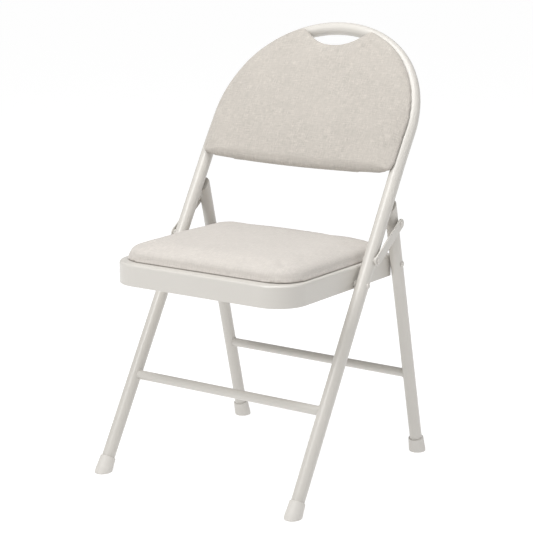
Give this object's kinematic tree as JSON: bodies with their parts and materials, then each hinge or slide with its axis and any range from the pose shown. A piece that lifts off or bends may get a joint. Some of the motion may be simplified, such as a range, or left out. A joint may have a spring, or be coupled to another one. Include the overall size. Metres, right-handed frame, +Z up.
{
  "type": "folding chair",
  "caption": "Folding chair with a bent steel tube hoop frame, folding rear legs, a padded fabric seat and a padded fabric back with a grip cut-out.",
  "frame": {"origin": "on the floor, under the centre of the open chair's box", "axes": "+Z up, +Y towards the chair's back, +X to the sitter's left; the chair faces -Y"},
  "size_m": [0.4806, 0.534, 0.8387],
  "materials": {
    "frame_paint": "satin powder coat, warm off-white",
    "pan_paint": "satin powder coat, warm off-white",
    "foot_plastic": "moulded, satin off-white",
    "rivet_steel": "coated steel, satin",
    "spacer_plastic": "moulded nylon, satin",
    "screw_steel": "zinc plated",
    "panel_plastic": "fine grained, matt",
    "board_wood": "raw plywood",
    "back_fabric": "fine plain weave, light greige",
    "seat_fabric": "fine plain weave, light greige"
  },
  "bodies": {
    "front_frame": {"hoop_frame": "frame_paint", "front_crossbar": "frame_paint", "front_foot_cap_left": "foot_plastic", "front_foot_cap_right": "foot_plastic", "back_board": "board_wood", "back_pad": "back_fabric", "back_panel": "panel_plastic", "back_tabs": "frame_paint", "back_screws": "screw_steel", "seat_pivot_rivet_left": "rivet_steel", "seat_pivot_rivet_right": "rivet_steel", "seat_spacers": "spacer_plastic", "link_pivot_rivet_left": "rivet_steel", "link_pivot_rivet_right": "rivet_steel", "link_spacers": "spacer_plastic"},
    "seat": {"seat_pan": "pan_paint", "seat_board": "board_wood", "seat_cushion": "seat_fabric", "hinge_plate_left": "pan_paint", "hinge_plate_right": "pan_paint", "seat_screws": "screw_steel", "leg_pivot_rivet_left": "rivet_steel", "leg_pivot_rivet_right": "rivet_steel", "leg_spacers": "spacer_plastic"},
    "rear_frame": {"rear_leg_left": "frame_paint", "rear_leg_right": "frame_paint", "rear_crossbar": "frame_paint", "rear_foot_cap_left": "foot_plastic", "rear_foot_cap_right": "foot_plastic"},
    "link_left_body": {"link_left": "frame_paint", "link_end_rivet_left": "rivet_steel"},
    "link_right_body": {"link_right": "frame_paint", "link_end_rivet_right": "rivet_steel"}
  },
  "joints": [
    {"name": "seat_fold", "type": "hinge", "parent": "front_frame", "child": "seat", "pos_m": [0, -0.0208, 0.384], "axis": [-1, 0, 0], "range_deg": [0, 104]},
    {"name": "leg_fold", "type": "hinge", "parent": "seat", "child": "rear_frame", "pos_m": [0, 0.10808, 0.402], "axis": [1, 0, 0], "range_deg": [0, 58.47]},
    {"name": "link_left_swing", "type": "hinge", "parent": "front_frame", "child": "link_left_body", "pos_m": [0, 0.00482, 0.42704], "axis": [-1, 0, 0], "range_deg": [0, 121.63]},
    {"name": "link_right_swing", "type": "hinge", "parent": "front_frame", "child": "link_right_body", "pos_m": [0, 0.00482, 0.42704], "axis": [-1, 0, 0], "range_deg": [0, 121.63]}
  ],
  "couplings": [
    {"joint": "leg_fold", "follows": "seat_fold", "ratio": 0.56223},
    {"joint": "link_left_swing", "follows": "seat_fold", "ratio": 1.1696},
    {"joint": "link_right_swing", "follows": "seat_fold", "ratio": 1.1696}
  ]
}
